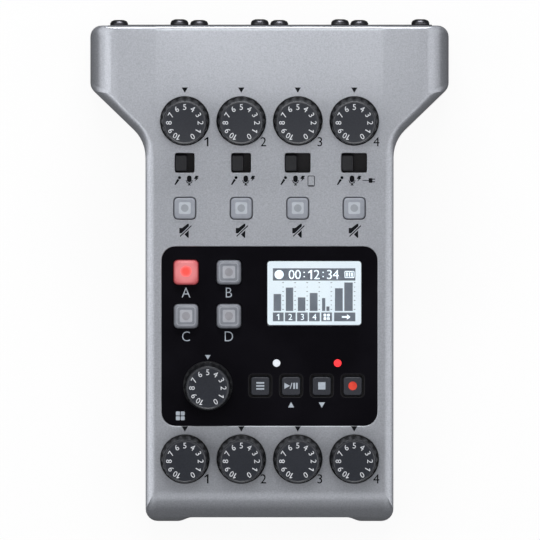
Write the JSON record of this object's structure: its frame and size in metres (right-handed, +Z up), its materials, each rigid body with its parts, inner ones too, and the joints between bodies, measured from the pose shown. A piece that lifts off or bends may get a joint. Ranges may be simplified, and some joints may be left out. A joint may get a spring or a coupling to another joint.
{
  "type": "podcast recorder",
  "caption": "Table-top podcast recorder and mixer with a T-shaped silver case, microphone sockets at the rear, dial knobs, lit pads, a display and headphone jacks at the front.",
  "frame": {"origin": "on the floor under the middle of the bounding box", "axes": "+Z up, +Y to the rear with the microphone sockets, +X to the right seen from the user"},
  "size_m": [0.112, 0.157, 0.047],
  "materials": {
    "case_silver": "fine metallic silver paint",
    "base_black": "fine grain",
    "fascia_black": "high gloss",
    "window_clear": "clear, polished",
    "display_face": "backlit, pale blue-white",
    "board_green": "solder mask",
    "socket_black": "satin black",
    "contact_brass": "bright",
    "screw_black": "black finish",
    "switch_grey": "plain",
    "lamp_clear": "lit, white and red",
    "port_steel": "plated",
    "cell_wrap": "wrapped",
    "foot_rubber": "matte",
    "slider_black": "satin",
    "knob_grey": "soft-touch, dark blue-grey",
    "shaft_metal": "turned",
    "mute_clear": "translucent",
    "pad_clear": "translucent",
    "key_grey": "satin, dark blue-grey"
  },
  "bodies": {
    "case": {"top_case": "case_silver", "bottom_cover": "base_black", "fascia_panel": "fascia_black", "display_window": "window_clear", "display_module": "display_face", "main_board": "board_green", "input_board": "board_green", "lower_board": "board_green", "xlr_shells": "socket_black", "xlr_inserts": "socket_black", "xlr_contacts": "contact_brass", "xlr_screws": "screw_black", "case_screws": "screw_black", "potentiometers": "switch_grey", "slide_switch_frames": "switch_grey", "tact_switches": "switch_grey", "status_lamps": "lamp_clear", "mini_jacks": "socket_black", "usb_ports": "port_steel", "card_socket": "port_steel", "battery_contacts": "port_steel", "battery_cells": "cell_wrap", "rubber_feet": "foot_rubber"},
    "gain_1": {"gain_knob_1": "knob_grey", "gain_shaft_1": "shaft_metal"},
    "gain_2": {"gain_knob_2": "knob_grey", "gain_shaft_2": "shaft_metal"},
    "gain_3": {"gain_knob_3": "knob_grey", "gain_shaft_3": "shaft_metal"},
    "gain_4": {"gain_knob_4": "knob_grey", "gain_shaft_4": "shaft_metal"},
    "phones_1": {"phones_knob_1": "knob_grey", "phones_shaft_1": "shaft_metal"},
    "phones_2": {"phones_knob_2": "knob_grey", "phones_shaft_2": "shaft_metal"},
    "phones_3": {"phones_knob_3": "knob_grey", "phones_shaft_3": "shaft_metal"},
    "phones_4": {"phones_knob_4": "knob_grey", "phones_shaft_4": "shaft_metal"},
    "pad_level": {"pad_knob": "knob_grey", "pad_shaft": "shaft_metal"},
    "input_1": {"input_slider_1": "slider_black"},
    "input_2": {"input_slider_2": "slider_black"},
    "input_3": {"input_slider_3": "slider_black"},
    "input_4": {"input_slider_4": "slider_black"},
    "mute_1": {"mute_button_1": "mute_clear"},
    "mute_2": {"mute_button_2": "mute_clear"},
    "mute_3": {"mute_button_3": "mute_clear"},
    "mute_4": {"mute_button_4": "mute_clear"},
    "pad_a": {"sound_pad_a": "pad_clear"},
    "pad_b": {"sound_pad_b": "pad_clear"},
    "pad_c": {"sound_pad_c": "pad_clear"},
    "pad_d": {"sound_pad_d": "pad_clear"},
    "menu": {"menu_key": "key_grey"},
    "play": {"play_key": "key_grey"},
    "stop": {"stop_key": "key_grey"},
    "record": {"record_key": "key_grey"},
    "power": {"power_slider": "slider_black"},
    "card_flap": {"card_door": "case_silver"},
    "battery_flap": {"battery_door": "base_black"}
  },
  "joints": [
    {"name": "gain_1_turn", "type": "hinge", "parent": "case", "child": "gain_1", "pos_m": [-0.02647, 0.0468, 0.03844], "axis": [0, -0.0958, 0.9954], "range_deg": [-150, 150]},
    {"name": "gain_2_turn", "type": "hinge", "parent": "case", "child": "gain_2", "pos_m": [-0.00882, 0.0468, 0.03844], "axis": [0, -0.0958, 0.9954], "range_deg": [-150, 150]},
    {"name": "gain_3_turn", "type": "hinge", "parent": "case", "child": "gain_3", "pos_m": [0.00882, 0.0468, 0.03844], "axis": [0, -0.0958, 0.9954], "range_deg": [-150, 150]},
    {"name": "gain_4_turn", "type": "hinge", "parent": "case", "child": "gain_4", "pos_m": [0.02647, 0.0468, 0.03844], "axis": [0, -0.0958, 0.9954], "range_deg": [-150, 150]},
    {"name": "phones_1_turn", "type": "hinge", "parent": "case", "child": "phones_1", "pos_m": [-0.02647, -0.0589, 0.02826], "axis": [0, -0.0958, 0.9954], "range_deg": [-150, 150]},
    {"name": "phones_2_turn", "type": "hinge", "parent": "case", "child": "phones_2", "pos_m": [-0.00882, -0.0589, 0.02826], "axis": [0, -0.0958, 0.9954], "range_deg": [-150, 150]},
    {"name": "phones_3_turn", "type": "hinge", "parent": "case", "child": "phones_3", "pos_m": [0.00882, -0.0589, 0.02826], "axis": [0, -0.0958, 0.9954], "range_deg": [-150, 150]},
    {"name": "phones_4_turn", "type": "hinge", "parent": "case", "child": "phones_4", "pos_m": [0.02647, -0.0589, 0.02826], "axis": [0, -0.0958, 0.9954], "range_deg": [-150, 150]},
    {"name": "pad_level_turn", "type": "hinge", "parent": "case", "child": "pad_level", "pos_m": [-0.0193, -0.036, 0.03047], "axis": [0, -0.0958, 0.9954], "range_deg": [-150, 150]},
    {"name": "input_1_slide", "type": "slide", "parent": "case", "child": "input_1", "axis": [1, 0, 0], "range_m": [0, 0.0021]},
    {"name": "input_2_slide", "type": "slide", "parent": "case", "child": "input_2", "axis": [1, 0, 0], "range_m": [0, 0.0021]},
    {"name": "input_3_slide", "type": "slide", "parent": "case", "child": "input_3", "axis": [1, 0, 0], "range_m": [0, 0.004]},
    {"name": "input_4_slide", "type": "slide", "parent": "case", "child": "input_4", "axis": [1, 0, 0], "range_m": [0, 0.004]},
    {"name": "mute_1_press", "type": "slide", "parent": "case", "child": "mute_1", "axis": [0, 0.0958, -0.9954], "range_m": [0, 0.0005], "stiffness_N_per_m": 600},
    {"name": "mute_2_press", "type": "slide", "parent": "case", "child": "mute_2", "axis": [0, 0.0958, -0.9954], "range_m": [0, 0.0005], "stiffness_N_per_m": 600},
    {"name": "mute_3_press", "type": "slide", "parent": "case", "child": "mute_3", "axis": [0, 0.0958, -0.9954], "range_m": [0, 0.0005], "stiffness_N_per_m": 600},
    {"name": "mute_4_press", "type": "slide", "parent": "case", "child": "mute_4", "axis": [0, 0.0958, -0.9954], "range_m": [0, 0.0005], "stiffness_N_per_m": 600},
    {"name": "pad_a_press", "type": "slide", "parent": "case", "child": "pad_a", "axis": [0, 0.0958, -0.9954], "range_m": [0, 0.0005], "stiffness_N_per_m": 600},
    {"name": "pad_b_press", "type": "slide", "parent": "case", "child": "pad_b", "axis": [0, 0.0958, -0.9954], "range_m": [0, 0.0005], "stiffness_N_per_m": 600},
    {"name": "pad_c_press", "type": "slide", "parent": "case", "child": "pad_c", "axis": [0, 0.0958, -0.9954], "range_m": [0, 0.0005], "stiffness_N_per_m": 600},
    {"name": "pad_d_press", "type": "slide", "parent": "case", "child": "pad_d", "axis": [0, 0.0958, -0.9954], "range_m": [0, 0.0005], "stiffness_N_per_m": 600},
    {"name": "menu_press", "type": "slide", "parent": "case", "child": "menu", "axis": [0, 0.0958, -0.9954], "range_m": [0, 0.0005], "stiffness_N_per_m": 600},
    {"name": "play_press", "type": "slide", "parent": "case", "child": "play", "axis": [0, 0.0958, -0.9954], "range_m": [0, 0.0005], "stiffness_N_per_m": 600},
    {"name": "stop_press", "type": "slide", "parent": "case", "child": "stop", "axis": [0, 0.0958, -0.9954], "range_m": [0, 0.0005], "stiffness_N_per_m": 600},
    {"name": "record_press", "type": "slide", "parent": "case", "child": "record", "axis": [0, 0.0958, -0.9954], "range_m": [0, 0.0005], "stiffness_N_per_m": 600},
    {"name": "power_slide", "type": "slide", "parent": "case", "child": "power", "axis": [0, 1, 0], "range_m": [-0.0022, 0.0022]},
    {"name": "card_flap_hinge", "type": "hinge", "parent": "case", "child": "card_flap", "pos_m": [-0.03755, -0.0416, 0.0086], "axis": [0, -1, 0], "range_deg": [0, 90]},
    {"name": "battery_flap_hinge", "type": "hinge", "parent": "case", "child": "battery_flap", "pos_m": [0, 0.0126, 0.0027], "axis": [1, 0, 0], "range_deg": [0, 90]}
  ]
}
